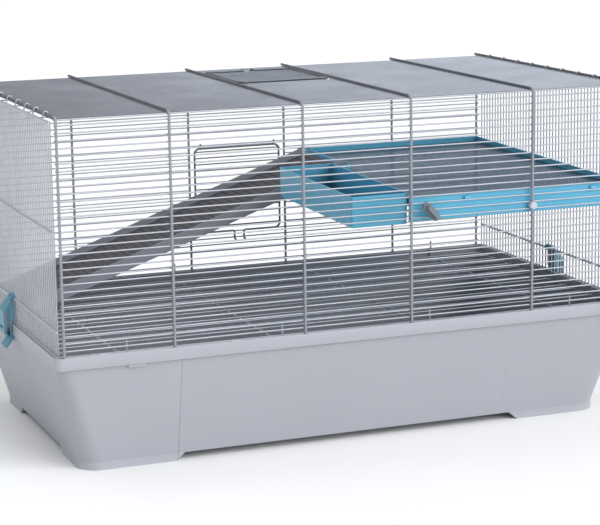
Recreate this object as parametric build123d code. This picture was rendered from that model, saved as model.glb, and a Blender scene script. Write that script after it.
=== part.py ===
from build123d import *
import math
import os

# A small-animal cage: a deep moulded tray, a welded wire top held on it by two side clips,
# a floor grille in the tray, a raised platform with a food tub and a ramp, and two wire doors.
# All lengths are in millimetres. X runs along the front, Y to the back, Z up from the feet.

# Tray
tray_length = 937.0
tray_width = 537.0
rim_top = 181.3
lip_height = 18.5
lip_corner = 14.0
lip_overhang = 4.5
wall_corner = 20.0
base_length = 856.0
base_width = 466.0
base_corner = 34.0
base_edge_height = 3.8
base_edge_width = 1.0
foot_height = 11.9
foot_strip = 30.0
foot_gap_length = 564.0
foot_gap_width = 260.0
foot_end_slope = 14.0
tray_wall = 3.0
bead_width = 1.2
rail_seat_depth = 4.0
rail_seat_width = 8.5
grille_seat_depth = 15.7
grille_seat_width = 5.3
mouth_corner = 12.0
taper_depth = 49.0
bump_places = (-399.0, -198.0)
bump_length = 12.0
bump_height = 1.8
lug_place = -347.5
lug_length = 27.0
lug_height = 4.5
lug_depth = 3.0

# Wire sizes
upright_wire = 4.0
thin_wire = 2.2
side_rail_wire = 3.6
bottom_rail_wire = 3.6
grille_frame_wire = 3.4
door_frame_wire = 3.4
weld_sink = 0.2
rest_gap = 0.2

# Wire top
panel_depth = 530.0
roof_height = 345.0
bar_places = (-454.5, -289.5, -86.3, 86.3, 289.5, 454.5)
wire_pitch = 10.76
first_wire_rise = 10.5
wire_count = 31
wire_end = 2.5
roof_wire_count = 48
roof_bar_overhang = 5.0
bend_radius = 6.0
bend_run = 7.0
side_plane = 463.0
side_rail_rises = (0.0, 39.2, 181.2, 337.4)
side_wire_pitch = 10.6
side_wire_count = 49
side_rail_end = 5.6
hook_every = 5
hook_gap = 0.1

# Floor grille
grille_edge_clearance = 1.1
grille_wire_pitch = 28.6
grille_wire_count = 18
grille_corner = 10.0
grille_bar_places = (-360.0, -120.0, 120.0, 360.0)
grille_tick_rise = 29.0
grille_tick_wire = 2.8

# Doors
door_side_gap = 8.3
door_bar_drop = 5.5
door_rest_gap = 0.3
door_corner = 9.0
door_bar_end = 1.0
hinge_fit = 0.08
hinge_eye_inset = 10.0
hinge_eye_end = -40.0
roof_hinge_wire = 27
roof_latch_wire = 43
back_hinge_wire = 19
back_latch_wire = 5
latch_offset = 1.5
latch_spread = 17.0
latch_hook_run = 6.5
latch_hook_gap = 0.9
latch_bend = 3.0

# Side clips
clip_length = 30.0
clip_finger_places = (-5.3, 5.3)
clip_finger_width = 6.0
clip_finger_radius = 6.6
clip_finger_wrap = 235.0
clip_finger_start = -30.0
clip_fit = 0.08
clip_plate_inside = 3.0
clip_plate_thickness = 3.4
clip_bulge = 19.0
clip_lip_gap = 0.8
clip_hook_bite = 2.9
clip_hook_clearance = 2.2
clip_hook_thickness = 3.6
clip_grip_length = 12.0
clip_slot_length = 18.0
clip_slot_height = 4.0
clip_slot_depth = 1.6
clip_plate_low = 1.0
clip_plate_top = 3.0
clip_waist = 3.0
clip_bulge_rise = 4.0
clip_hook_edge = 1.0
clip_grip_wall = 1.5
clip_strap = 3.2
clip_window_top = 9.0

# Platform
platform_left = 86.0
platform_step = 122.0
platform_right = 452.0
platform_step_place = 62.0
platform_clearance = 6.0
platform_front_clearance = 4.0
platform_back_rise = 199.8
platform_tilt = 0.95
platform_rim = 8.0
platform_rim_wall = 2.5
platform_floor_thickness = 2.5
platform_ledge_width = 10.0
platform_ledge_thickness = 2.5
platform_floor_fit = 0.1
apron_height = 36.0
tab_places = (176.0, 392.0)
tab_width = 9.0
tab_thickness = 4.0
tab_reach = 1.2
front_tab_wire = 16
back_tab_wire = 17

# Turn knob of the platform
knob_wire_gap = 14
knob_place = 118.7
knob_length = 33.7
knob_width = 13.0
knob_plate = 6.5
knob_grip_height = 10.5
knob_grip_width = 6.5
knob_offset = 5.6
knob_angle = 130.9
knob_standoff = 2.6
spindle_wire = 6.0
spindle_fit = 0.05
retainer_width = 12.0
retainer_thickness = 1.6
retainer_gap = 0.3

# Round stud that grips an upright
stud_neck = 7.4
stud_head = 11.5
stud_head_proud = 3.5
stud_groove_fit = 0.1
stud_edge = 1.2

# Food tub
tub_left = -8.0
tub_right = 84.5
tub_depth = 300.0
tub_height = 47.0
tub_rise = 8.0
tub_wall = 2.5
tub_corner = 4.0
tub_draft = 1.2
tub_hook_places = (-450.0, -250.0)
tub_hook_width = 40.0
tub_hook_thickness = 2.5
tub_hook_drop = 6.0
tub_hook_fit = 0.5

# Ramp
ramp_front = 78.0
ramp_width = 172.0
ramp_top_place = 118.0
ramp_top_rise = 203.7
ramp_slope = 0.356
ramp_run = 552.0
ramp_rail_height = 19.8
ramp_rail_wall = 3.0
ramp_tread_depth = 10.4
ramp_tread_thickness = 3.0
ramp_foot_gap = 0.4
ramp_cleat_pitch = 12.0
ramp_cleat_width = 2.0
ramp_cleat_height = 1.0
ramp_cleat_margin = 8.0
ramp_hook_wire = 3.0
ramp_hook_rise = 0.5
ramp_hook_back = 14.0
ramp_hook_leg = 2.5
ramp_hook_drop = 8.0
ramp_hook_bend = 3.0

# Places that follow from the sizes above
front_plane = -panel_depth / 2
back_plane = panel_depth / 2
rail_seat = rim_top - rail_seat_depth
rail_height = rail_seat + rest_gap + side_rail_wire / 2
wire_offset = (upright_wire + thin_wire) / 2 - weld_sink
front_wire_plane = front_plane + wire_offset
back_wire_plane = back_plane - wire_offset
roof_bar_height = rail_height + roof_height
roof_wire_height = roof_bar_height - wire_offset
outer_bar = bar_places[-1]
wire_reach = outer_bar + wire_end
door_bar_right = bar_places[3]
door_half_width = door_bar_right - door_side_gap - door_frame_wire / 2
knob_rise = first_wire_rise + (knob_wire_gap + 0.5) * wire_pitch
platform_front_y = front_wire_plane + platform_front_clearance
platform_back_y = back_wire_plane - platform_clearance
platform_back_height = rail_height + platform_back_rise
platform_depth = platform_back_y - platform_front_y
grille_seat = rim_top - grille_seat_depth
grille_frame_height = grille_seat + grille_frame_wire / 2
grille_wire_height = grille_frame_height + (grille_frame_wire + thin_wire) / 2 - weld_sink
knob_front = front_plane - upright_wire / 2 - knob_standoff - knob_plate - knob_grip_height
bar_back = back_plane + roof_bar_overhang
plan_shift = -(knob_front + bar_back) / 2


def wire_height(number):
    """Height of one cross wire of the front and back panels."""
    return rail_height + first_wire_rise + number * wire_pitch


def roof_wire_place(number):
    """Y of one roof wire, counted from the front corner wire."""
    inner_bend = (bend_radius - wire_offset) * math.sqrt(0.5)
    return front_plane + bend_radius - inner_bend + number * wire_pitch


def rod(start, end, diameter):
    """A straight round wire between two points."""
    axis = Vector(*end) - Vector(*start)
    plane = Plane(origin=start, z_dir=axis)
    return Solid.make_cylinder(diameter / 2, axis.length, plane)


def bent_rod(points, radius, diameter):
    """A round wire through points, with one bend radius at each corner."""
    path = FilletPolyline(*points, radius=radius)
    section = Plane(origin=path @ 0, z_dir=path % 0) * Circle(diameter / 2)
    return sweep(section, path=path).solid()


def cross_wire(half_length, y, z, diameter):
    """A wire along X, centred on the cage."""
    return rod((-half_length, y, z), (half_length, y, z), diameter)


def join(shapes):
    """One welded solid from many touching ones."""
    return shapes[0].fuse(*shapes[1:])


def rounded_block(length, width, corner, low, high):
    """A block with rounded upright edges, centred in plan."""
    return extrude(Pos(0, 0, low) * RectangleRounded(length, width, corner), high - low)


def tapered_block(low_size, low, high_size, high):
    """A block whose plan changes from one rounded rectangle to another."""
    bottom = Pos(0, 0, low) * RectangleRounded(*low_size)
    top = Pos(0, 0, high) * RectangleRounded(*high_size)
    return loft([bottom, top], ruled=True)


def box_between(low, high):
    """A block given by its lowest and highest corners."""
    size = [b - a for a, b in zip(low, high)]
    middle = [(a + b) / 2 for a, b in zip(low, high)]
    return Pos(*middle) * Box(*size)


def make_tray():
    """The moulded tray with its stepped rim and four corner feet."""
    lip_bottom = rim_top - lip_height
    edge_top = foot_height + base_edge_height
    base = (base_length, base_width, base_corner)
    under = (base_length - 2 * base_edge_width, base_width - 2 * base_edge_width,
             base_corner - base_edge_width)
    wall_top = (tray_length - 2 * lip_overhang, tray_width - 2 * lip_overhang, wall_corner)
    body = tapered_block(base, edge_top, wall_top, lip_bottom)
    body += tapered_block(under, foot_height, base, edge_top)
    body += rounded_block(tray_length, tray_width, lip_corner, lip_bottom, rim_top)

    bead_length = tray_length - 2 * bead_width
    bead_depth = tray_width - 2 * bead_width
    body -= rounded_block(bead_length, bead_depth, lip_corner - bead_width, rail_seat, rim_top)
    mouth_length = bead_length - 2 * rail_seat_width
    mouth_width = bead_depth - 2 * rail_seat_width
    body -= rounded_block(mouth_length, mouth_width, mouth_corner, grille_seat, rim_top)
    inner_length = mouth_length - 2 * grille_seat_width
    inner_width = mouth_width - 2 * grille_seat_width
    taper_top = rim_top - taper_depth
    body -= rounded_block(inner_length, inner_width, mouth_corner, taper_top, rim_top)
    floor_size = (base_length - 2 * tray_wall, base_width - 2 * tray_wall, base_corner - tray_wall)
    inner_size = (inner_length, inner_width, mouth_corner)
    body -= tapered_block(floor_size, foot_height + tray_wall, inner_size, taper_top)

    feet = rounded_block(*under, 0, foot_height)
    feet -= rounded_block(under[0] - 2 * foot_strip, under[1] - 2 * foot_strip,
                          under[2] - foot_strip, 0, foot_height)
    feet -= foot_gap(foot_gap_length, Plane.XZ, tray_width)
    feet -= foot_gap(foot_gap_width, Plane.YZ, tray_length)
    body += feet

    front_face = -tray_width / 2
    for place in bump_places:
        body += box_between((place - bump_length / 2, front_face, rail_seat),
                            (place + bump_length / 2, front_face + bead_width,
                             rim_top + bump_height))
    lug_face = front_face + lip_overhang
    body += box_between((lug_place - lug_length / 2, lug_face - lug_depth, lip_bottom - lug_height),
                        (lug_place + lug_length / 2, lug_face + tray_wall, lip_bottom))
    return body


def foot_gap(bottom_length, plane, reach):
    """The sloped-ended space between two feet, cut along one direction."""
    low = bottom_length / 2
    high = low - foot_end_slope
    outline = Polyline((-low, 0), (low, 0), (high, foot_height), (-high, foot_height), close=True)
    return extrude(plane * make_face(outline), reach, both=True)


def make_floor_grille():
    """The welded wire floor on the tray's lower step, with upright wire ends on its edge."""
    half_length = tray_length / 2 - bead_width - rail_seat_width - grille_edge_clearance
    half_width = tray_width / 2 - bead_width - rail_seat_width - grille_edge_clearance
    frame_x = half_length - grille_frame_wire / 2
    frame_y = half_width - grille_frame_wire / 2
    outline = Pos(0, 0, grille_frame_height) * RectangleRounded(2 * frame_x, 2 * frame_y,
                                                                grille_corner)
    path = outline.wire()
    section = Plane(origin=path @ 0, z_dir=path % 0) * Circle(grille_frame_wire / 2)
    pieces = [sweep(section, path=path).solid()]
    middle = (grille_wire_count - 1) / 2
    for number in range(grille_wire_count):
        y = (number - middle) * grille_wire_pitch
        pieces.append(cross_wire(frame_x + thin_wire / 2, y, grille_wire_height, thin_wire))
    for x in grille_bar_places:
        pieces.append(rod((x, -frame_y, grille_frame_height), (x, frame_y, grille_frame_height),
                          grille_frame_wire))
    frame_top = grille_frame_height + grille_frame_wire / 2
    ticks = [rod((x, y, frame_top), (x, y, grille_frame_height + grille_tick_rise),
                 grille_tick_wire)
             for x in grille_bar_places for y in (-frame_y, frame_y)]
    return Compound(children=[join(pieces)] + ticks)


def make_front_panel():
    """Uprights that bend over at the roof, with the front cross wires inside them."""
    pieces = []
    foot = rail_seat + rest_gap
    for x in bar_places:
        points = ((x, front_plane, foot), (x, front_plane, roof_bar_height),
                  (x, front_plane + bend_run, roof_bar_height))
        pieces.append(bent_rod(points, bend_radius, upright_wire))
    for number in range(wire_count):
        pieces.append(cross_wire(wire_reach, front_wire_plane, wire_height(number), thin_wire))
    corner_drop = roof_wire_place(0) - front_plane
    pieces.append(cross_wire(wire_reach, roof_wire_place(0), roof_bar_height - corner_drop,
                             thin_wire))
    rail_y = front_plane + (upright_wire + bottom_rail_wire) / 2 - weld_sink
    pieces.append(cross_wire(wire_reach, rail_y, rail_height, bottom_rail_wire))
    return join(pieces)


def make_roof_panel():
    """Roof bars over thin wires, open for the roof door, in four flat parts of one panel."""
    opening_front = roof_wire_place(roof_hinge_wire) + thin_wire
    opening_back = roof_wire_place(roof_latch_wire) - thin_wire
    start = front_plane + bend_run
    reach = outer_bar + upright_wire / 2 - weld_sink
    parts = []
    for low, high, first, last in (
            (start, opening_front, 1, roof_hinge_wire + 1),
            (opening_back, bar_back, roof_latch_wire, roof_wire_count + 1)):
        pieces = [roof_bar(x, low, high) for x in bar_places]
        pieces += [cross_wire(reach, roof_wire_place(number), roof_wire_height, thin_wire)
                   for number in range(first, last)]
        parts.append(join(pieces))
    for side in (-1, 1):
        pieces = [roof_bar(x, opening_front, opening_back) for x in bar_places if x * side > 0]
        for number in range(roof_hinge_wire + 1, roof_latch_wire):
            y = roof_wire_place(number)
            pieces.append(rod((side * (door_bar_right - thin_wire / 2), y, roof_wire_height),
                              (side * reach, y, roof_wire_height), thin_wire))
        parts.append(join(pieces))
    return Compound(children=parts)


def roof_bar(x, low, high):
    """One stretch of a roof bar."""
    return rod((x, low, roof_bar_height), (x, high, roof_bar_height), upright_wire)


def make_back_panel():
    """Uprights and cross wires of the back, open for the back door, in four flat parts."""
    foot = rail_seat + rest_gap
    top = roof_bar_height - upright_wire / 2 - rest_gap
    opening_low = wire_height(back_latch_wire) + thin_wire
    opening_high = wire_height(back_hinge_wire) - thin_wire
    rail_y = back_plane - (upright_wire + bottom_rail_wire) / 2 + weld_sink
    parts = []
    for low, high, first, last in (
            (foot, opening_low, 0, back_latch_wire + 1),
            (opening_high, top, back_hinge_wire, wire_count)):
        pieces = [rod((x, back_plane, low), (x, back_plane, high), upright_wire)
                  for x in bar_places]
        pieces += [cross_wire(wire_reach, back_wire_plane, wire_height(number), thin_wire)
                   for number in range(first, last)]
        if first == 0:
            pieces.append(cross_wire(wire_reach, rail_y, rail_height, bottom_rail_wire))
        parts.append(join(pieces))
    for side in (-1, 1):
        pieces = [rod((x, back_plane, opening_low), (x, back_plane, opening_high), upright_wire)
                  for x in bar_places if x * side > 0]
        for number in range(back_latch_wire + 1, back_hinge_wire):
            z = wire_height(number)
            pieces.append(rod((side * (door_bar_right - thin_wire / 2), back_wire_plane, z),
                              (side * wire_reach, back_wire_plane, z), thin_wire))
        parts.append(join(pieces))
    return Compound(children=parts)


def make_side_panel(side):
    """Four rails with upright wires inside them, some of them hooked over the roof bar."""
    half_length = (side_wire_count - 1) / 2 * side_wire_pitch + side_rail_end
    inner = side_plane - (side_rail_wire + thin_wire) / 2 + weld_sink
    top = rail_height + side_rail_rises[-1]
    hook_radius = (upright_wire + thin_wire) / 2 + hook_gap
    pieces = []
    for rise in side_rail_rises:
        z = rail_height + rise
        pieces.append(rod((side * side_plane, -half_length, z), (side * side_plane, half_length, z),
                          side_rail_wire))
    middle = (side_wire_count - 1) / 2
    for number in range(side_wire_count):
        y = (number - middle) * side_wire_pitch
        if number % hook_every == hook_every - 1:
            near = outer_bar + hook_radius
            path = Polyline((side * inner, y, rail_height),
                            (side * inner, y, top),
                            (side * near, y, roof_bar_height))
            over = ThreePointArc((side * near, y, roof_bar_height),
                                 (side * outer_bar, y, roof_bar_height + hook_radius),
                                 (side * (outer_bar - hook_radius), y, roof_bar_height))
            pieces.append(tube_along(path, thin_wire))
            pieces.append(tube_along(over, thin_wire))
            pieces.append(Pos(side * near, y, roof_bar_height) * Sphere(thin_wire / 2))
        else:
            pieces.append(rod((side * inner, y, rail_height - side_rail_wire / 2),
                              (side * inner, y, top + side_rail_wire / 2), thin_wire))
    return join(pieces)


def tube_along(path, diameter):
    """A round wire along a path, with mitred corners."""
    section = Plane(origin=path @ 0, z_dir=path % 0) * Circle(diameter / 2)
    return sweep(section, path=path, transition=Transition.RIGHT).solid()


def make_door(wire_span):
    """A wire door in its own plane: hinge wire at the origin, door along Y, outside towards Z."""
    frame_rise = (thin_wire + door_frame_wire) / 2 + door_rest_gap
    closing = wire_span * wire_pitch
    hook_place = closing + wire_pitch + (thin_wire + door_frame_wire) / 2 + latch_hook_gap
    left_prong = latch_offset - latch_spread / 2
    right_prong = latch_offset + latch_spread / 2
    half = door_half_width
    tip = frame_rise - latch_hook_run
    points = (
        (left_prong, hook_place, tip), (left_prong, hook_place, frame_rise),
        (left_prong, closing, frame_rise), (-half, closing, frame_rise),
        (-half, door_bar_drop, frame_rise), (half, door_bar_drop, frame_rise),
        (half, closing, frame_rise), (right_prong, closing, frame_rise),
        (right_prong, hook_place, frame_rise), (right_prong, hook_place, tip))
    radii = [latch_bend] * 2 + [door_corner] * 4 + [latch_bend] * 2
    pieces = [bent_rod(points, radii, door_frame_wire)]

    bar_rise = frame_rise - (thin_wire + door_frame_wire) / 2 + weld_sink
    for number in range(1, wire_span):
        pieces.append(cross_wire(half + door_bar_end, number * wire_pitch, bar_rise, thin_wire))
    for x in (hinge_eye_inset - half, half - hinge_eye_inset):
        pieces.append(hinge_eye(x))
    return join(pieces)


def hinge_eye(x):
    """A thin wire that curls round the hinge wire and runs on to the door's hinge bar."""
    radius = thin_wire + hinge_fit
    end_angle = math.radians(hinge_eye_end)
    straight = Edge.make_line((x, door_bar_drop, radius), (x, 0, radius))
    curl = Edge.make_three_point_arc(
        (x, 0, radius), (x, -radius, 0),
        (x, radius * math.cos(end_angle), radius * math.sin(end_angle)))
    section = Plane(origin=(x, door_bar_drop, radius), z_dir=(0, -1, 0)) * Circle(thin_wire / 2)
    return sweep(section, path=Wire([straight, curl])).solid()


def make_roof_door():
    """The roof door, hinged on a roof wire at its front edge."""
    plane = Plane(origin=(0, roof_wire_place(roof_hinge_wire), roof_wire_height),
                  x_dir=(1, 0, 0), z_dir=(0, 0, 1))
    return plane * make_door(roof_latch_wire - roof_hinge_wire)


def make_back_door():
    """The back door, hinged on a back wire at its upper edge."""
    plane = Plane(origin=(0, back_wire_plane, wire_height(back_hinge_wire)),
                  x_dir=(1, 0, 0), z_dir=(0, 1, 0))
    return plane * make_door(back_hinge_wire - back_latch_wire)


def make_clip():
    """The right side clip: fingers round the low rail and a hook under the tray's lip."""
    pivot_z = rail_height + side_rail_rises[1]
    lip_face = tray_length / 2 - side_plane
    lip_bottom = rim_top - lip_height - pivot_z
    hook_top = lip_bottom - clip_hook_clearance
    hook_low = hook_top - clip_hook_thickness
    hook_tip = lip_face - clip_hook_bite
    beside_lip = lip_face + clip_lip_gap
    above_lip = rim_top - pivot_z + clip_lip_gap + bump_height
    grip_low = hook_low - clip_grip_length
    shoulder = clip_plate_inside + clip_plate_thickness
    grip_face = clip_bulge - clip_hook_edge
    points = (
        (clip_plate_inside, -clip_plate_low), (shoulder, -clip_plate_low),
        (clip_bulge, above_lip / 2), (clip_bulge, lip_bottom + clip_bulge_rise),
        (shoulder + clip_waist, hook_low), (grip_face, grip_low),
        (grip_face - 2 * clip_grip_wall, grip_low), (beside_lip, hook_low - clip_grip_wall),
        (hook_tip + clip_hook_edge, hook_low), (hook_tip, hook_low + clip_hook_edge),
        (hook_tip, hook_top), (beside_lip, hook_top),
        (beside_lip, above_lip), (clip_plate_inside, above_lip + clip_plate_top))
    window = (
        (beside_lip + clip_strap, -clip_window_top - clip_strap),
        (clip_bulge - clip_strap, above_lip / 2 - clip_strap),
        (clip_bulge - clip_strap, lip_bottom + clip_bulge_rise + clip_strap),
        (beside_lip + clip_strap, hook_top))
    outline = make_face(Polyline(*points, close=True)) - make_face(Polyline(*window, close=True))
    body = extrude(Plane.XZ * outline, clip_length / 2, both=True)

    ring = Circle(clip_finger_radius) - Circle(side_rail_wire / 2 + clip_fit)
    low_angle = math.radians(clip_finger_start)
    high_angle = math.radians(clip_finger_start + clip_finger_wrap)
    middle_angle = (low_angle + high_angle) / 2 + math.pi
    reach = 3 * clip_finger_radius
    mouth = [(0, 0)] + [(reach * math.cos(angle), reach * math.sin(angle))
                        for angle in (high_angle, middle_angle, low_angle)]
    ring -= make_face(Polyline(*mouth, close=True))
    for place in clip_finger_places:
        body += Pos(0, place, 0) * extrude(Plane.XZ * ring, clip_finger_width / 2, both=True)
    slot_z = (above_lip + lip_bottom) / 2
    body -= box_between((clip_bulge - clip_slot_depth, -clip_slot_length / 2, slot_z),
                        (2 * clip_bulge, clip_slot_length / 2, slot_z + clip_slot_height))
    return Pos(side_plane, 0, pivot_z) * body


def on_platform(shape):
    """Places a shape drawn from the platform's back upper edge, with the platform's tilt."""
    return Pos(0, platform_back_y, platform_back_height) * Rot(platform_tilt, 0, 0) * shape


def platform_face(inset):
    """The platform's plan, with its step for the ramp, drawn in from its edge."""
    left, step, right = platform_left + inset, platform_step + inset, platform_right - inset
    front, back = inset - platform_depth, -inset
    turn = platform_step_place - platform_back_y - inset
    return make_face(Polyline((left, front), (right, front), (right, back), (step, back),
                              (step, turn), (left, turn), close=True))


def make_platform_frame():
    """The moulded rim, ledge and front apron of the platform, with tabs on the cage wires."""
    floor_low = -platform_rim - platform_floor_thickness
    bottom = floor_low - platform_ledge_thickness
    inside = platform_rim_wall + platform_ledge_width
    frame = extrude(Pos(0, 0, bottom) * platform_face(0), -bottom)
    frame -= extrude(Pos(0, 0, floor_low) * platform_face(platform_rim_wall), -floor_low)
    frame -= extrude(Pos(0, 0, bottom) * platform_face(inside), platform_ledge_thickness)
    frame += box_between((platform_left, -platform_depth, -apron_height),
                         (platform_right, platform_rim_wall - platform_depth, bottom))
    frame = on_platform(frame)
    for x in tab_places:
        z = wire_height(front_tab_wire) + thin_wire / 2 + rest_gap
        frame += box_between((x, front_wire_plane - tab_reach, z),
                             (x + tab_width, platform_front_y + platform_rim_wall / 2,
                              z + tab_thickness))
        z = wire_height(back_tab_wire) + thin_wire / 2 + rest_gap
        frame += box_between((x, platform_back_y - platform_rim_wall / 2, z),
                             (x + tab_width, back_wire_plane + tab_reach, z + tab_thickness))
    for x, hole in ((knob_place, spindle_wire / 2 + spindle_fit),
                    (bar_places[4], stud_neck / 2 + stud_groove_fit)):
        frame -= rod((x, platform_front_y - 2 * platform_rim_wall, rail_height + knob_rise),
                     (x, platform_front_y + 3 * platform_rim_wall, rail_height + knob_rise),
                     2 * hole)
    return frame


def make_platform_floor():
    """The smoky floor plate that lies in the platform's frame."""
    inset = platform_rim_wall + platform_floor_fit
    low = -platform_rim - platform_floor_thickness
    return on_platform(extrude(Pos(0, 0, low) * platform_face(inset), platform_floor_thickness))


def knob_plane(y):
    """A plane across the knob's spindle, with X along the knob."""
    angle = math.radians(knob_angle)
    return Plane(origin=(knob_place, y, rail_height + knob_rise),
                 x_dir=(math.cos(angle), 0, math.sin(angle)), z_dir=(0, -1, 0))


def make_turn_knob():
    """The long knob outside the front wires."""
    back = front_plane - upright_wire / 2 - knob_standoff
    plate = extrude(knob_plane(back) * Pos(knob_offset, 0) * SlotOverall(knob_length, knob_width),
                    knob_plate)
    grip_length = knob_length - knob_width + knob_grip_width
    grip = extrude(knob_plane(back - knob_plate) * Pos(knob_offset, 0)
                   * SlotOverall(grip_length, knob_grip_width), knob_grip_height)
    return plate + grip


def make_knob_spindle():
    """The spindle between the knob and its retainer."""
    back = front_plane - upright_wire / 2 - knob_standoff
    return rod((knob_place, back, rail_height + knob_rise),
               (knob_place, retainer_face() + retainer_thickness, rail_height + knob_rise),
               spindle_wire)


def retainer_face():
    """Y of the retainer's face beside the apron."""
    lean = math.tan(math.radians(platform_tilt)) * apron_height
    return platform_front_y + platform_rim_wall + lean + retainer_gap


def make_knob_retainer():
    """The washer that keeps the spindle in the apron."""
    z = rail_height + knob_rise
    near, far = retainer_face(), retainer_face() + retainer_thickness
    washer = rod((knob_place, near, z), (knob_place, far, z), retainer_width)
    return washer.cut(rod((knob_place, near, z), (knob_place, far, z), spindle_wire))


def make_platform_stud():
    """The round stud through the apron that grips one upright."""
    x, z = bar_places[4], rail_height + knob_rise
    head_back = front_wire_plane - thin_wire / 2 - rest_gap
    head_front = front_plane - upright_wire / 2 - stud_head_proud
    neck = rod((x, platform_front_y + 2 * platform_rim_wall, z), (x, head_back, z), stud_neck)
    head = Part() + rod((x, head_back, z), (x, head_front, z), stud_head)
    head = fillet(head.faces().sort_by(Axis.Y)[0].edges(), stud_edge)
    groove = upright_wire / 2 + stud_groove_fit
    stud = head + neck
    stud -= rod((x, front_plane, z - stud_head), (x, front_plane, z + stud_head), 2 * groove)
    stud -= box_between((x - groove, front_plane, z - stud_head),
                        (x + groove, front_plane + groove, z + stud_head))
    return stud


def make_food_tub():
    """The open food tub that hangs on the platform's left rim."""
    length = tub_right - tub_left
    middle_x = (tub_left + tub_right) / 2
    middle_y = tub_depth / 2 - platform_depth
    low = tub_rise - tub_height

    def tub_block(inset, bottom):
        top_size = (length - 2 * inset, tub_depth - 2 * inset, tub_corner - inset)
        low_size = (top_size[0] - 2 * tub_draft, top_size[1] - 2 * tub_draft, top_size[2])
        return tapered_block(low_size, bottom, top_size, tub_rise)

    tub = Pos(middle_x, middle_y, 0) * (tub_block(0, low) - tub_block(tub_wall, low + tub_wall))
    hook_low = tub_hook_fit
    hook_end = platform_left + platform_rim_wall + tub_hook_fit + tub_wall
    for place in tub_hook_places:
        near, far = place - tub_hook_width / 2, place + tub_hook_width / 2
        tub += box_between((tub_right - tub_wall, near, hook_low),
                           (hook_end, far, hook_low + tub_hook_thickness))
        tub += box_between((hook_end - tub_wall, near, -tub_hook_drop),
                           (hook_end, far, hook_low + tub_hook_thickness))
    return on_platform(tub)


def ramp_part(near, far, low, high):
    """A board along the ramp between two widths and two levels, trimmed at both ends."""
    slope = math.atan(ramp_slope)
    along = (math.cos(slope), 0, math.sin(slope))
    normal = (-math.sin(slope), 0, math.cos(slope))
    plane = Plane(origin=(ramp_top_place, ramp_front, rail_height + ramp_top_rise),
                  x_dir=along, z_dir=normal)
    length = ramp_run / math.cos(slope)
    board = plane * box_between((-length, near, low), (length, far, high))
    foot = grille_wire_height + thin_wire / 2 + ramp_foot_gap
    keep = box_between((ramp_top_place - 2 * ramp_run, -tray_width, foot),
                       (ramp_top_place, tray_width, 2 * roof_bar_height))
    return board & keep


def ramp_hook_height(y):
    """Height of a ramp hook's wire over the platform's tilted rim."""
    fall = (platform_back_y - y) * math.sin(math.radians(platform_tilt))
    return platform_back_height - fall + ramp_hook_rise + ramp_hook_wire / 2


def make_ramp_rail(number):
    """One side rail of the ramp, with the wire hook at its upper end."""
    near = number * (ramp_width - ramp_rail_wall)
    rail = ramp_part(near, near + ramp_rail_wall, -ramp_rail_height, 0)
    y = ramp_front + near + ramp_rail_wall / 2
    z = ramp_hook_height(y)
    leg_x = platform_step + platform_rim_wall + ramp_hook_leg + ramp_hook_wire / 2
    points = ((ramp_top_place - ramp_hook_back, y, z), (leg_x, y, z), (leg_x, y, z - ramp_hook_drop))
    return rail + bent_rod(points, ramp_hook_bend, ramp_hook_wire)


def make_ramp_tread():
    """The walking board of the ramp, with low cleats across it."""
    near, far = ramp_rail_wall, ramp_width - ramp_rail_wall
    top = -ramp_tread_depth
    tread = ramp_part(near, far, top - ramp_tread_thickness, top)
    slope = math.atan(ramp_slope)
    plane = Plane(origin=(ramp_top_place, ramp_front, rail_height + ramp_top_rise),
                  x_dir=(math.cos(slope), 0, math.sin(slope)),
                  z_dir=(-math.sin(slope), 0, math.cos(slope)))
    length = ramp_run / math.cos(slope) - 3 * ramp_cleat_pitch
    for number in range(1, int(length / ramp_cleat_pitch)):
        x = -number * ramp_cleat_pitch
        tread += plane * box_between(
            (x - ramp_cleat_width / 2, near + ramp_cleat_margin, top - ramp_cleat_height),
            (x + ramp_cleat_width / 2, far - ramp_cleat_margin, top + ramp_cleat_height))
    return tread


def export(shape, name):
    """Writes one piece, moved so that the origin is the middle of the whole plan."""
    export_step(Pos(0, plan_shift, 0) * shape, os.path.join("parts", name + ".step"))


os.makedirs("parts", exist_ok=True)
export(make_tray(), "base_tray")
export(make_floor_grille(), "floor_grille")
export(make_front_panel(), "front_panel")
export(make_roof_panel(), "roof_panel")
export(make_back_panel(), "back_panel")
export(make_side_panel(-1), "left_side_panel")
export(make_side_panel(1), "right_side_panel")
export(make_roof_door(), "roof_door")
export(make_back_door(), "back_door")
export(make_clip(), "right_clip")
export(mirror(make_clip(), about=Plane.YZ), "left_clip")
export(make_platform_frame(), "platform_frame")
export(make_platform_floor(), "platform_floor")
export(make_turn_knob(), "turn_knob")
export(make_knob_spindle(), "knob_spindle")
export(make_knob_retainer(), "knob_retainer")
export(make_platform_stud(), "platform_stud")
export(make_food_tub(), "food_tub")
export(make_ramp_rail(0), "ramp_front_rail")
export(make_ramp_rail(1), "ramp_back_rail")
export(make_ramp_tread(), "ramp_tread")
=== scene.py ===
import math

import bmesh
import bpy
from mathutils import Matrix, Vector


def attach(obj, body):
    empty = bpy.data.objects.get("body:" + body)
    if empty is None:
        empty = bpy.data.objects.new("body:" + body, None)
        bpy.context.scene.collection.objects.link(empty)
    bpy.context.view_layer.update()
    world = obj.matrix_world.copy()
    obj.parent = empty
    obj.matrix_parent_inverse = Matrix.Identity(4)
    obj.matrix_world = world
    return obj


# Looks for a wire small-animal cage on a moulded tray. Lengths are in metres, in the CAD frame.

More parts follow.
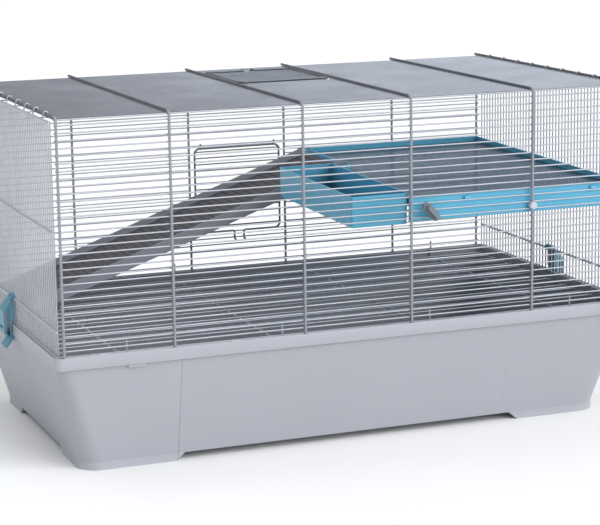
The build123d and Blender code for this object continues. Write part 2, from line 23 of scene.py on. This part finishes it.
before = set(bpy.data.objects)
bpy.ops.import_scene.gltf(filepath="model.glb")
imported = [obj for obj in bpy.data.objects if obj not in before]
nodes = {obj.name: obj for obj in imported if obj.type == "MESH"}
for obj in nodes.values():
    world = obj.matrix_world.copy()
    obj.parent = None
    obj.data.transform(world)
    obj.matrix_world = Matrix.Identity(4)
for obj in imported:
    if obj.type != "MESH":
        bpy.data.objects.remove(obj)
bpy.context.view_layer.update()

MM = 0.001
PLAN_SHIFT = 8.3 * MM
BAR_PLACES = [x * MM for x in (-454.5, -289.5, -86.3, 86.3, 289.5, 454.5)]
WIRE_PITCH = 10.76 * MM
WIRE_COUNT = 31
ROOF_WIRE_COUNT = 48
SIDE_PITCH = 10.6 * MM
SIDE_COUNT = 49
UPRIGHT_RADIUS = 2.0 * MM
WIRE_OFFSET = 2.9 * MM
FIRST_WIRE_RISE = 10.5 * MM
BEND_RADIUS = 6.0 * MM
FRONT_PLANE = -265.0 * MM + PLAN_SHIFT
BACK_PLANE = 265.0 * MM + PLAN_SHIFT
RAIL_HEIGHT = 179.3 * MM
ROOF_HEIGHT = RAIL_HEIGHT + 345.0 * MM
SIDE_PLANE = 463.0 * MM
SIDE_RAIL_RISES = [z * MM for z in (39.2, 181.2, 337.4)]
BACK_DOOR_WIRES = (5, 19)
ROOF_DOOR_WIRES = (27, 43)
DOOR_SIDE = 76.3 * MM
DOOR_WELD_RISE = 1.4 * MM
GRILLE_BARS = [x * MM for x in (-360.0, -120.0, 120.0, 360.0)]
GRILLE_PITCH = 28.6 * MM
GRILLE_COUNT = 18
GRILLE_WELD_HEIGHT = 169.1 * MM
SIDE_WELD_INSET = 1.7 * MM

# Half sizes of the weld beads, and how much their size varies along a row
UPRIGHT_BEAD = (1.9 * MM, 0.75 * MM, 1.5 * MM)
ROOF_BEAD = (1.9 * MM, 1.5 * MM, 0.75 * MM)
SIDE_BEAD = (0.7 * MM, 1.5 * MM, 1.7 * MM)
GRILLE_BEAD = (1.4 * MM, 1.3 * MM, 0.8 * MM)
ROOF_DOOR_BEAD = (1.4 * MM, 1.4 * MM, 0.8 * MM)
BACK_DOOR_BEAD = (1.4 * MM, 0.8 * MM, 1.4 * MM)
BEAD_VARIATION = 0.12
BEAD_PHASE_STEP = 2.399

# Left, right and top of the raised panel on the tray's walls, and how far it stands out
TRAY_PANEL = (-278.5 * MM, 255.0 * MM, 162.0 * MM)
TRAY_PANEL_DEPTH = 0.9 * MM


def linear(*parts):
    """A colour given in display values from 0 to 255, as the shader wants it."""
    values = []
    for part in parts:
        share = part / 255
        values.append(share / 12.92 if share <= 0.04045 else ((share + 0.055) / 1.055) ** 2.4)
    return (*values, 1.0)


# Materials

class Shader:
    """A node tree under construction."""

    def __init__(self, name):
        self.material = bpy.data.materials.new(name)
        self.material.use_nodes = True
        self.tree = self.material.node_tree
        self.tree.nodes.clear()
        self.place = self.node("ShaderNodeTexCoord").outputs["Object"]

    def node(self, kind, **inputs):
        """A new node, its inputs set or linked by name."""
        made = self.tree.nodes.new(kind)
        for key, value in inputs.items():
            self.put(made, key.replace("_", " "), value)
        return made

    def put(self, node, key, value):
        """Sets one input to a value, or links a socket to it."""
        socket = node.inputs[int(key) if key.isdigit() else key]
        if isinstance(value, bpy.types.NodeSocket):
            self.tree.links.new(value, socket)
        else:
            socket.default_value = value

    def noise(self, scale, detail=3.0, roughness=0.55, stretch=None):
        """Noise fixed to the object."""
        place = self.place
        if stretch:
            mapping = self.node("ShaderNodeMapping", Vector=place)
            mapping.inputs["Scale"].default_value = stretch
            place = mapping.outputs["Vector"]
        made = self.node("ShaderNodeTexNoise", Vector=place, Scale=scale, Detail=detail,
                         Roughness=roughness)
        return made.outputs["Fac"]

    def spread(self, value, low, high, start=0.3, end=0.7):
        """A value between start and end, spread from low to high."""
        made = self.node("ShaderNodeMapRange", Value=value)
        self.put(made, "From Min", start)
        self.put(made, "From Max", end)
        self.put(made, "To Min", low)
        self.put(made, "To Max", high)
        return made.outputs["Result"]

    def mix(self, factor, first, second):
        """A colour between the first and the second."""
        made = self.tree.nodes.new("ShaderNodeMix")
        made.data_type = "RGBA"
        for key, value in ((0, factor), (6, first), (7, second)):
            if isinstance(value, bpy.types.NodeSocket):
                self.tree.links.new(value, made.inputs[key])
            else:
                made.inputs[key].default_value = value
        return made.outputs[2]

    def along_x(self):
        """The place along the cage."""
        return self.node("ShaderNodeSeparateXYZ", Vector=self.place).outputs["X"]

    def raised_panel(self, left, right, top):
        """1 between two upright lines of a wall below its lip, 0 outside them."""
        half = 0.8 * MM
        first = self.spread(self.along_x(), 0.0, 1.0, left - half, left + half)
        last = self.spread(self.along_x(), 1.0, 0.0, right - half, right + half)
        height = self.node("ShaderNodeSeparateXYZ", Vector=self.place).outputs["Z"]
        below = self.spread(height, 1.0, 0.0, top - half, top + half)
        total = first
        for other in (last, below):
            both = self.tree.nodes.new("ShaderNodeMath")
            both.operation = "MULTIPLY"
            self.put(both, "0", total)
            self.put(both, "1", other)
            total = both.outputs["Value"]
        return total

    def on_bars(self):
        """1 on the thick wires, 0 between them."""
        total = 0.0
        margin = 0.2 * MM
        for bar in BAR_PLACES:
            near = self.tree.nodes.new("ShaderNodeMath")
            near.operation = "COMPARE"
            self.tree.links.new(self.along_x(), near.inputs[0])
            near.inputs[1].default_value = bar
            near.inputs[2].default_value = UPRIGHT_RADIUS + margin
            both = self.node("ShaderNodeMath")
            self.put(both, "0", near.outputs["Value"])
            self.put(both, "1", total)
            total = both.outputs["Value"]
        return total

    def edges(self, radius):
        """A normal that rounds off sharp edges."""
        made = self.tree.nodes.new("ShaderNodeBevel")
        made.samples = 4
        made.inputs["Radius"].default_value = radius
        return made.outputs["Normal"]

    def bump(self, height, strength, distance, normal=None):
        """A normal that follows a height."""
        made = self.node("ShaderNodeBump", Height=height, Strength=strength, Distance=distance)
        if normal is not None:
            self.put(made, "Normal", normal)
        return made.outputs["Normal"]

    def finish(self, surface):
        """The material, with this shader as its surface."""
        output = self.tree.nodes.new("ShaderNodeOutputMaterial")
        self.tree.links.new(surface, output.inputs["Surface"])
        return self.material


def shade(colour, factor):
    """A colour made darker or lighter."""
    return (*[min(1.0, part * factor) for part in colour[:3]], 1.0)


def plastic(name, colour, rough=0.42, variation=0.05, edge=0.8 * MM, grain=900.0, streak=None,
            grain_depth=0.04 * MM, painted_recess_shade=0.0, panel=None):
    """Moulded plastic: faint flow marks, a fine grain, softened edges paler from wear, and painted
    shade in recesses where asked.
    """
    s = Shader(name)
    flow = s.noise(5.0, 4.0, 0.6, streak)
    cloud = s.noise(38.0, 3.0)
    base = s.mix(s.spread(flow, 0.0, 1.0), shade(colour, 1 - variation), shade(colour, 1 + variation))
    base = s.mix(s.spread(cloud, 0.0, 0.25), base, shade(colour, 1 - 1.5 * variation))
    worn = s.node("ShaderNodeNewGeometry").outputs["Pointiness"]
    base = s.mix(s.spread(worn, 0.0, 0.35, 0.515, 0.6), base, shade(colour, 1.35))
    # Painted shade: surfaces in recesses, found by ambient occlusion, are darkened towards a
    # near-black copy of the colour.
    if painted_recess_shade:
        recess_shade = s.node("ShaderNodeAmbientOcclusion", Distance=60 * MM).outputs["AO"]
        base = s.mix(s.spread(recess_shade, painted_recess_shade, 0.0, 0.3, 0.85), base, shade(colour, 0.12))
    scuff = s.noise(160.0, 6.0, 0.7, (1.0, 1.0, 0.25))
    shader = s.node("ShaderNodeBsdfPrincipled", Base_Color=base)
    s.put(shader, "Roughness", s.spread(scuff, rough - 0.06, rough + 0.1))
    normal = s.edges(edge)
    if panel:
        normal = s.bump(s.raised_panel(*panel), 1.0, TRAY_PANEL_DEPTH, normal)
    s.put(shader, "Normal", s.bump(s.noise(grain, 2.0), 0.5, grain_depth, normal))
    s.put(shader, "Specular IOR Level", 0.4)
    return s.finish(shader.outputs["BSDF"])


def zinc(name, colour, metal=0.45, rough=0.38, bars=None, painted_light_ends=None):
    """Plated wire: spangle and dull patches, darker thick bars, and where asked painted shade towards
    the left end with painted light towards the right end.
    """
    s = Shader(name)
    spangle = s.noise(420.0, 4.0, 0.6)
    patch = s.noise(14.0, 3.0)
    base = s.mix(s.spread(spangle, 0.0, 1.0), shade(colour, 0.86), shade(colour, 1.1))
    base = s.mix(s.spread(patch, 0.0, 0.4), base, shade(colour, 0.8))
    # Painted shade towards the left end and painted light towards the right end, as if lit from the
    # right.
    if painted_light_ends:
        length = s.spread(s.along_x(), 0.0, 0.7, BAR_PLACES[0], BAR_PLACES[-1])
        base = s.mix(s.spread(length, 0.6, 0.0, 0.0, 0.35), base, shade(colour, painted_light_ends[0]))
        base = s.mix(s.spread(length, 0.0, 0.6, 0.35, 0.7), base, shade(colour, painted_light_ends[1]))
    # Thick bars get a darker copy of the colour.
    if bars:
        base = s.mix(s.on_bars(), base, shade(colour, bars))
    shader = s.node("ShaderNodeBsdfPrincipled", Base_Color=base, Metallic=metal)
    s.put(shader, "Roughness", s.spread(patch, rough - 0.08, rough + 0.12))
    s.put(shader, "Normal", s.bump(spangle, 0.35, 0.05 * MM))
    return s.finish(shader.outputs["BSDF"])


def smoky(name, colour, clear=0.32):
    """A tinted, glossy floor plate that lets some light through."""
    s = Shader(name)
    haze = s.noise(9.0, 4.0, 0.6)
    scratch = s.noise(240.0, 3.0, 0.6, (1.0, 0.06, 1.0))
    base = s.mix(s.spread(haze, 0.0, 1.0), shade(colour, 0.9), shade(colour, 1.12))
    gloss = s.node("ShaderNodeBsdfPrincipled", Base_Color=base)
    s.put(gloss, "Roughness", s.spread(scratch, 0.2, 0.38))
    s.put(gloss, "Specular IOR Level", 0.35)
    s.put(gloss, "Normal", s.bump(scratch, 0.25, 0.03 * MM))
    tint = (0.66, 0.78, 0.88, 1.0)
    through = s.node("ShaderNodeBsdfTransparent", Color=tint)
    both = s.tree.nodes.new("ShaderNodeMixShader")
    s.put(both, "0", s.spread(haze, clear + 0.05, clear - 0.05))
    s.tree.links.new(gloss.outputs["BSDF"], both.inputs[1])
    s.tree.links.new(through.outputs["BSDF"], both.inputs[2])
    return s.finish(both.outputs["Shader"])


def walking_board(name, colour):
    """The ramp's board: a brownish plastic with fine ribs across it, dusty mottling, and painted shade
    in the grooves between the ribs.
    """
    s = Shader(name)
    wave = s.node("ShaderNodeTexWave", Vector=s.place, Scale=60.0, Distortion=0.0)
    wave.wave_type = "BANDS"
    wave.bands_direction = "X"
    dust = s.noise(55.0, 5.0, 0.65)
    base = s.mix(s.spread(dust, 0.0, 1.0), shade(colour, 0.86), shade(colour, 1.12))
    # Painted shade darkens the grooves between the ribs.
    base = s.mix(s.spread(wave.outputs["Fac"], 0.35, 0.0, 0.0, 0.5), base, shade(colour, 0.6))
    shader = s.node("ShaderNodeBsdfPrincipled", Base_Color=base, Roughness=0.62)
    ribs = s.bump(wave.outputs["Fac"], 0.5, 0.4 * MM, s.edges(0.4 * MM))
    s.put(shader, "Normal", s.bump(s.noise(700.0, 2.0), 0.4, 0.05 * MM, ribs))
    return s.finish(shader.outputs["BSDF"])


platform_blue = linear(92, 172, 204)
tray_plastic = plastic("tray_plastic", linear(165, 168, 176), rough=0.4, variation=0.025,
                       edge=0.6 * MM, grain=700.0, panel=TRAY_PANEL)
wire_metal = zinc("wire_metal", linear(178, 182, 191), bars=0.7)
# The roof wires are the same metal as the front wires; their darker colour is painted shade that
# offsets the top lamp, and their ends carry painted shade on the left and painted light on the right.
roof_metal_painted_shade_and_light = zinc("roof_metal_painted_shade_and_light", linear(138, 143, 153), bars=0.5, painted_light_ends=(0.32, 1.45))
side_metal = zinc("side_metal", linear(192, 196, 205))
grille_metal = zinc("grille_metal", linear(188, 192, 202), metal=0.4, rough=0.42)
door_metal = zinc("door_metal", linear(112, 117, 126))
weld_metal = zinc("weld_metal", linear(150, 153, 161), metal=0.5, rough=0.5)
blue_plastic = plastic("blue_plastic", platform_blue, rough=0.32)
# The tub gets painted shade darkening the inside of its recesses.
tub_plastic = plastic("tub_plastic", platform_blue, rough=0.3, painted_recess_shade=0.75)
clip_plastic = plastic("clip_plastic", linear(86, 142, 162), rough=0.36, variation=0.06,
                       edge=0.5 * MM)
smoky_plastic = smoky("smoky_plastic", linear(54, 80, 98))
knob_plastic = plastic("knob_plastic", linear(116, 123, 132), rough=0.4, variation=0.06,
                       edge=0.7 * MM)
white_plastic = plastic("white_plastic", linear(188, 198, 208), rough=0.35, variation=0.03,
                        edge=0.5 * MM)
rail_plastic = plastic("rail_plastic", linear(136, 139, 148), rough=0.45,
                       edge=0.6 * MM, streak=(0.2, 1.0, 1.0))
tread_plastic = walking_board("tread_plastic", linear(82, 81, 87))

FINISHES = {
    "base_tray": tray_plastic,
    "floor_grille": grille_metal,
    "front_panel": wire_metal,
    "roof_panel": roof_metal_painted_shade_and_light,
    "back_panel": wire_metal,
    "left_side_panel": side_metal,
    "right_side_panel": side_metal,
    "roof_door": door_metal,
    "back_door": door_metal,
    "left_clip": clip_plastic,
    "right_clip": clip_plastic,
    "platform_frame": blue_plastic,
    "platform_floor": smoky_plastic,
    "platform_stud": white_plastic,
    "turn_knob": knob_plastic,
    "knob_spindle": knob_plastic,
    "knob_retainer": knob_plastic,
    "food_tub": tub_plastic,
    "ramp_front_rail": rail_plastic,
    "ramp_back_rail": rail_plastic,
    "ramp_tread": tread_plastic,
}
for name, node in nodes.items():
    if not node.material_slots:
        node.data.materials.append(FINISHES[name])
    for place in node.material_slots:
        place.material = FINISHES[name]


# Weld beads where wires cross

def bead_shape():
    """Corners and faces of one round bead of radius 1."""
    shape = bmesh.new()
    bmesh.ops.create_icosphere(shape, subdivisions=2, radius=1.0)
    corners = [vert.co.copy() for vert in shape.verts]
    faces = [tuple(vert.index for vert in face.verts) for face in shape.faces]
    shape.free()
    return corners, faces


def weld_beads(name, body, places, half_size):
    """Flattened beads of weld metal at many crossings, as one mesh that rides on a body."""
    corners, faces = bead_shape()
    all_corners = []
    all_faces = []
    for number, place in enumerate(places):
        swell = 1.0 + BEAD_VARIATION * math.sin(number * BEAD_PHASE_STEP)
        start = len(all_corners)
        all_corners += [Vector(place) + Vector([c * h * swell for c, h in zip(corner, half_size)])
                        for corner in corners]
        all_faces += [tuple(start + index for index in face) for face in faces]
    mesh = bpy.data.meshes.new(name)
    mesh.from_pydata(all_corners, [], all_faces)
    mesh.materials.append(weld_metal)
    for face in mesh.polygons:
        face.use_smooth = True
    bead = bpy.data.objects.new(name, mesh)
    bpy.context.scene.collection.objects.link(bead)
    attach(bead, body)
    return bead


def wire_height(number):
    """Height of one cross wire of the front and back panels."""
    return RAIL_HEIGHT + FIRST_WIRE_RISE + number * WIRE_PITCH


def in_row(number, count, pitch):
    """Y of one wire of a row that is centred on the cage."""
    return (number - (count - 1) / 2) * pitch + PLAN_SHIFT


def roof_wire_place(number):
    """Y of one roof wire, counted from the front corner wire."""
    inner = (BEND_RADIUS - WIRE_OFFSET) * math.sqrt(0.5)
    return FRONT_PLANE + BEND_RADIUS - inner + number * WIRE_PITCH


front_weld = FRONT_PLANE + UPRIGHT_RADIUS
back_weld = BACK_PLANE - UPRIGHT_RADIUS
weld_beads("front_welds", "wire_top",
           [(x, front_weld, wire_height(n)) for x in BAR_PLACES for n in range(WIRE_COUNT)],
           UPRIGHT_BEAD)
weld_beads("back_welds", "wire_top",
           [(x, back_weld, wire_height(n)) for x in BAR_PLACES for n in range(WIRE_COUNT)],
           UPRIGHT_BEAD)
weld_beads("roof_welds", "wire_top",
           [(x, roof_wire_place(n), ROOF_HEIGHT - UPRIGHT_RADIUS) for x in BAR_PLACES
            for n in range(1, ROOF_WIRE_COUNT + 1)],
           ROOF_BEAD)
for side, label in ((-1, "left"), (1, "right")):
    weld_beads(label + "_side_welds", "wire_top",
               [(side * (SIDE_PLANE - SIDE_WELD_INSET), in_row(n, SIDE_COUNT, SIDE_PITCH),
                 RAIL_HEIGHT + rise)
                for rise in SIDE_RAIL_RISES for n in range(SIDE_COUNT)],
               SIDE_BEAD)

weld_beads("grille_welds", "grille",
           [(x, in_row(n, GRILLE_COUNT, GRILLE_PITCH), GRILLE_WELD_HEIGHT)
            for x in GRILLE_BARS for n in range(GRILLE_COUNT)],
           GRILLE_BEAD)
weld_beads("roof_door_welds", "roof_door",
           [(x, roof_wire_place(ROOF_DOOR_WIRES[0] + n), ROOF_HEIGHT - WIRE_OFFSET + DOOR_WELD_RISE)
            for x in (-DOOR_SIDE, DOOR_SIDE)
            for n in range(1, ROOF_DOOR_WIRES[1] - ROOF_DOOR_WIRES[0])],
           ROOF_DOOR_BEAD)
weld_beads("back_door_welds", "back_door",
           [(x, BACK_PLANE - WIRE_OFFSET + DOOR_WELD_RISE, wire_height(BACK_DOOR_WIRES[1] - n))
            for x in (-DOOR_SIDE, DOOR_SIDE)
            for n in range(1, BACK_DOOR_WIRES[1] - BACK_DOOR_WIRES[0])],
           BACK_DOOR_BEAD)


# Floor, camera and lights

def make_floor():
    """A wide pale floor with a faint, even texture."""
    mesh = bpy.data.meshes.new("floor")
    half = 30.0
    mesh.from_pydata([(-half, -half, 0), (half, -half, 0), (half, half, 0), (-half, half, 0)],
                     [], [(0, 1, 2, 3)])
    floor = bpy.data.objects.new("floor", mesh)
    bpy.context.scene.collection.objects.link(floor)
    s = Shader("floor_paper")
    tone = s.mix(s.spread(s.noise(2.0, 2.0), 0.0, 1.0), (0.93, 0.93, 0.935, 1), (0.95, 0.95, 0.955, 1))
    paper = s.node("ShaderNodeBsdfPrincipled", Base_Color=tone, Roughness=0.9)
    s.put(paper, "Specular IOR Level", 0.0)
    mesh.materials.append(s.finish(paper.outputs["BSDF"]))


def make_camera():
    """The photograph's camera, found by fitting the cage's corners."""
    azimuth = math.radians(-21.449)
    elevation = math.radians(11.540)
    roll = math.radians(-0.835)
    forward = Vector((-math.sin(azimuth) * math.cos(elevation),
                      math.cos(azimuth) * math.cos(elevation), -math.sin(elevation)))
    level = Vector((math.cos(azimuth), math.sin(azimuth), 0.0))
    above = level.cross(forward)
    right = level * math.cos(roll) + above * math.sin(roll)
    up = above * math.cos(roll) - level * math.sin(roll)
    data = bpy.data.cameras.new("camera")
    data.sensor_fit = "HORIZONTAL"
    data.sensor_width = 36.0
    data.lens = 125.29
    data.shift_x = -0.00897
    data.shift_y = 0.02297
    data.clip_start = 0.05
    data.clip_end = 100.0
    camera = bpy.data.objects.new("camera", data)
    turn = Matrix((right, up, -forward)).transposed()
    place = Vector((-1.1882, -3.0630, 0.8833))
    camera.matrix_world = Matrix.Translation(place) @ turn.to_4x4()
    bpy.context.scene.collection.objects.link(camera)
    bpy.context.scene.camera = camera


def sun_light(name, place, strength, softness):
    """An even, soft light from one direction."""
    data = bpy.data.lights.new(name, "SUN")
    data.energy = strength
    data.angle = math.radians(softness)
    light = bpy.data.objects.new(name, data)
    light.matrix_world = (-Vector(place)).to_track_quat("-Z", "Y").to_matrix().to_4x4()
    bpy.context.scene.collection.objects.link(light)


def make_world():
    """White behind the object, and a dimmer even light on it."""
    world = bpy.data.worlds.new("world")
    world.use_nodes = True
    tree = world.node_tree
    tree.nodes.clear()
    path = tree.nodes.new("ShaderNodeLightPath")
    seen = tree.nodes.new("ShaderNodeBackground")
    seen.inputs["Color"].default_value = (1.0, 1.0, 1.0, 1.0)
    seen.inputs["Strength"].default_value = 1.0
    ambient = tree.nodes.new("ShaderNodeBackground")
    ambient.inputs["Color"].default_value = (0.97, 0.985, 1.0, 1.0)
    ambient.inputs["Strength"].default_value = 0.52
    mix = tree.nodes.new("ShaderNodeMixShader")
    output = tree.nodes.new("ShaderNodeOutputWorld")
    tree.links.new(path.outputs["Is Camera Ray"], mix.inputs[0])
    tree.links.new(ambient.outputs["Background"], mix.inputs[1])
    tree.links.new(seen.outputs["Background"], mix.inputs[2])
    tree.links.new(mix.outputs["Shader"], output.inputs["Surface"])
    bpy.context.scene.world = world


make_floor()
make_camera()
sun_light("key", (0.42, -0.74, 0.52), strength=2.1, softness=50.0)
sun_light("top", (-0.1, 0.25, 1.0), strength=0.9, softness=80.0)
make_world()
bpy.context.scene.view_settings.view_transform = "Standard"
